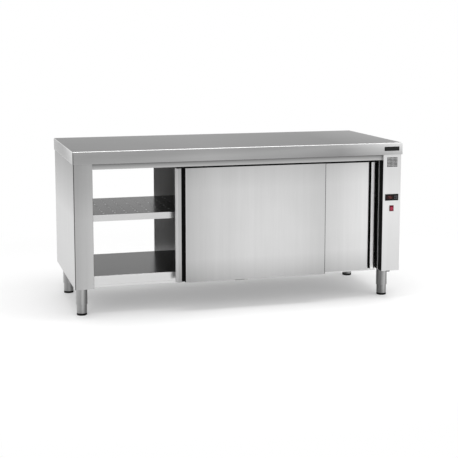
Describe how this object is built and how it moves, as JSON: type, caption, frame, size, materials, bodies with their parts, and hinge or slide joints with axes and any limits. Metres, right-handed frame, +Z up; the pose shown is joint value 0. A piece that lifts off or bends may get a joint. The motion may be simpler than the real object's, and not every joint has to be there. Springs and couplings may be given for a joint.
{
  "type": "plate warmer cabinet",
  "caption": "Pass-through heated plate cabinet in stainless sheet: sliding doors on both long sides, shelves inside, a control and fan column at one end, adjustable legs.",
  "frame": {"origin": "on the floor, at the centre of the footprint", "axes": "+Z up; +X along the length towards the control column; the side with the controls faces -Y"},
  "size_m": [1.8, 0.7756, 0.87],
  "materials": {
    "worktop_steel": "fine brushed",
    "panel_steel": "satin",
    "door_steel": "satin",
    "inner_steel": "satin",
    "track_steel": "plain mill",
    "leg_steel": "fine brushed",
    "foot_steel": "fine brushed, dark plastic ring at the base",
    "board": "raw board",
    "insulation": "mineral wool",
    "bare_plate": "black, slightly glossy",
    "roller_plastic": "moulded",
    "guide_plastic": "moulded",
    "buffer_rubber": "matt",
    "case_plastic": "fine grain",
    "window_plastic": "dark red, glossy",
    "key_plastic": "moulded",
    "rocker_plastic": "red, glossy",
    "motor_paint": "black",
    "impeller_metal": "plain",
    "heater_metal": "heat tinted",
    "probe_metal": "plain",
    "terminal_plastic": "moulded",
    "gland_plastic": "moulded"
  },
  "bodies": {
    "cabinet": {"worktop": "worktop_steel", "worktop_core": "board", "nameplate": "bare_plate", "top_insulation": "insulation", "ceiling_panel": "inner_steel", "left_side_shell": "panel_steel", "left_inner_panel": "inner_steel", "left_insulation": "insulation", "column_shell": "panel_steel", "duct_wall": "inner_steel", "fan_plate": "inner_steel", "bottom_shelf": "inner_steel", "base_beams": "inner_steel", "middle_shelf": "inner_steel", "shelf_uprights": "inner_steel", "shelf_brackets": "track_steel", "front_top_rail": "panel_steel", "rear_top_rail": "panel_steel", "front_door_track": "track_steel", "rear_door_track": "track_steel", "door_guides": "guide_plastic", "door_buffers": "buffer_rubber", "leg_front_left": "leg_steel", "leg_front_right": "leg_steel", "leg_rear_left": "leg_steel", "leg_rear_right": "leg_steel", "thermostat_case": "case_plastic", "thermostat_window": "window_plastic", "rocker_housing": "case_plastic", "fan_motor": "motor_paint", "heating_element": "heater_metal", "temperature_probe": "probe_metal", "terminal_block": "terminal_plastic", "cable_gland": "gland_plastic"},
    "foot_front_left_body": {"foot_front_left": "foot_steel"},
    "foot_front_right_body": {"foot_front_right": "foot_steel"},
    "foot_rear_left_body": {"foot_rear_left": "foot_steel"},
    "foot_rear_right_body": {"foot_rear_right": "foot_steel"},
    "front_left_door": {"front_left_door_skin": "door_steel", "front_left_door_liner": "inner_steel"},
    "front_right_door": {"front_right_door_skin": "door_steel", "front_right_door_liner": "inner_steel"},
    "rear_left_door": {"rear_left_door_skin": "door_steel", "rear_left_door_liner": "inner_steel"},
    "rear_right_door": {"rear_right_door_skin": "door_steel", "rear_right_door_liner": "inner_steel"},
    "front_left_roller_a_body": {"front_left_roller_a": "roller_plastic"},
    "front_left_roller_b_body": {"front_left_roller_b": "roller_plastic"},
    "front_right_roller_a_body": {"front_right_roller_a": "roller_plastic"},
    "front_right_roller_b_body": {"front_right_roller_b": "roller_plastic"},
    "rear_left_roller_a_body": {"rear_left_roller_a": "roller_plastic"},
    "rear_left_roller_b_body": {"rear_left_roller_b": "roller_plastic"},
    "rear_right_roller_a_body": {"rear_right_roller_a": "roller_plastic"},
    "rear_right_roller_b_body": {"rear_right_roller_b": "roller_plastic"},
    "key_up_body": {"key_up": "key_plastic"},
    "key_down_body": {"key_down": "key_plastic"},
    "key_set_body": {"key_set": "key_plastic"},
    "key_standby_body": {"key_standby": "key_plastic"},
    "rocker_body": {"rocker": "rocker_plastic"},
    "fan_impeller_body": {"fan_impeller": "impeller_metal"}
  },
  "joints": [
    {"name": "foot_front_left_height", "type": "slide", "parent": "cabinet", "child": "foot_front_left_body", "axis": [0, 0, 1], "range_m": [-0.03, 0.02]},
    {"name": "foot_front_right_height", "type": "slide", "parent": "cabinet", "child": "foot_front_right_body", "axis": [0, 0, 1], "range_m": [-0.03, 0.02]},
    {"name": "foot_rear_left_height", "type": "slide", "parent": "cabinet", "child": "foot_rear_left_body", "axis": [0, 0, 1], "range_m": [-0.03, 0.02]},
    {"name": "foot_rear_right_height", "type": "slide", "parent": "cabinet", "child": "foot_rear_right_body", "axis": [0, 0, 1], "range_m": [-0.03, 0.02]},
    {"name": "front_left_door_slide", "type": "slide", "parent": "cabinet", "child": "front_left_door", "axis": [1, 0, 0], "range_m": [-0.428, 0.3215]},
    {"name": "front_right_door_slide", "type": "slide", "parent": "cabinet", "child": "front_right_door", "axis": [1, 0, 0], "range_m": [-0.7495, 0]},
    {"name": "rear_left_door_slide", "type": "slide", "parent": "cabinet", "child": "rear_left_door", "axis": [1, 0, 0], "range_m": [-0.456, 0.2935]},
    {"name": "rear_right_door_slide", "type": "slide", "parent": "cabinet", "child": "rear_right_door", "axis": [1, 0, 0], "range_m": [-0.7495, 0]},
    {"name": "front_left_roller_a_turn", "type": "hinge", "parent": "front_left_door", "child": "front_left_roller_a_body", "pos_m": [-0.262, -0.3372, 0.8133], "axis": [0, 1, 0], "continuous": true},
    {"name": "front_left_roller_b_turn", "type": "hinge", "parent": "front_left_door", "child": "front_left_roller_b_body", "pos_m": [0.3615, -0.3372, 0.8133], "axis": [0, 1, 0], "continuous": true},
    {"name": "front_right_roller_a_turn", "type": "hinge", "parent": "front_right_door", "child": "front_right_roller_a_body", "pos_m": [0.683, -0.2932, 0.8133], "axis": [0, 1, 0], "continuous": true},
    {"name": "front_right_roller_b_turn", "type": "hinge", "parent": "front_right_door", "child": "front_right_roller_b_body", "pos_m": [0.0595, -0.2932, 0.8133], "axis": [0, 1, 0], "continuous": true},
    {"name": "rear_left_roller_a_turn", "type": "hinge", "parent": "rear_left_door", "child": "rear_left_roller_a_body", "pos_m": [-0.234, 0.3372, 0.8133], "axis": [0, 1, 0], "continuous": true},
    {"name": "rear_left_roller_b_turn", "type": "hinge", "parent": "rear_left_door", "child": "rear_left_roller_b_body", "pos_m": [0.3895, 0.3372, 0.8133], "axis": [0, 1, 0], "continuous": true},
    {"name": "rear_right_roller_a_turn", "type": "hinge", "parent": "rear_right_door", "child": "rear_right_roller_a_body", "pos_m": [0.683, 0.2932, 0.8133], "axis": [0, 1, 0], "continuous": true},
    {"name": "rear_right_roller_b_turn", "type": "hinge", "parent": "rear_right_door", "child": "rear_right_roller_b_body", "pos_m": [0.0595, 0.2932, 0.8133], "axis": [0, 1, 0], "continuous": true},
    {"name": "key_up_press", "type": "slide", "parent": "cabinet", "child": "key_up_body", "axis": [0, 1, 0], "range_m": [0, 0.0008], "stiffness_N_per_m": 400, "springref_m": -0.001},
    {"name": "key_down_press", "type": "slide", "parent": "cabinet", "child": "key_down_body", "axis": [0, 1, 0], "range_m": [0, 0.0008], "stiffness_N_per_m": 400, "springref_m": -0.001},
    {"name": "key_set_press", "type": "slide", "parent": "cabinet", "child": "key_set_body", "axis": [0, 1, 0], "range_m": [0, 0.0008], "stiffness_N_per_m": 400, "springref_m": -0.001},
    {"name": "key_standby_press", "type": "slide", "parent": "cabinet", "child": "key_standby_body", "axis": [0, 1, 0], "range_m": [0, 0.0008], "stiffness_N_per_m": 400, "springref_m": -0.001},
    {"name": "rocker_tip", "type": "hinge", "parent": "cabinet", "child": "rocker_body", "pos_m": [0.845, -0.3715, 0.508], "axis": [1, 0, 0], "range_deg": [-18, 0]},
    {"name": "fan_turn", "type": "hinge", "parent": "cabinet", "child": "fan_impeller_body", "pos_m": [0.833, 0, 0.48], "axis": [1, 0, 0], "continuous": true}
  ],
  "couplings": [
    {"joint": "front_left_roller_a_turn", "follows": "front_left_door_slide", "rad_per_m": 90.909},
    {"joint": "front_left_roller_b_turn", "follows": "front_left_door_slide", "rad_per_m": 90.909},
    {"joint": "front_right_roller_a_turn", "follows": "front_right_door_slide", "rad_per_m": 90.909},
    {"joint": "front_right_roller_b_turn", "follows": "front_right_door_slide", "rad_per_m": 90.909},
    {"joint": "rear_left_roller_a_turn", "follows": "rear_left_door_slide", "rad_per_m": 90.909},
    {"joint": "rear_left_roller_b_turn", "follows": "rear_left_door_slide", "rad_per_m": 90.909},
    {"joint": "rear_right_roller_a_turn", "follows": "rear_right_door_slide", "rad_per_m": 90.909},
    {"joint": "rear_right_roller_b_turn", "follows": "rear_right_door_slide", "rad_per_m": 90.909}
  ]
}
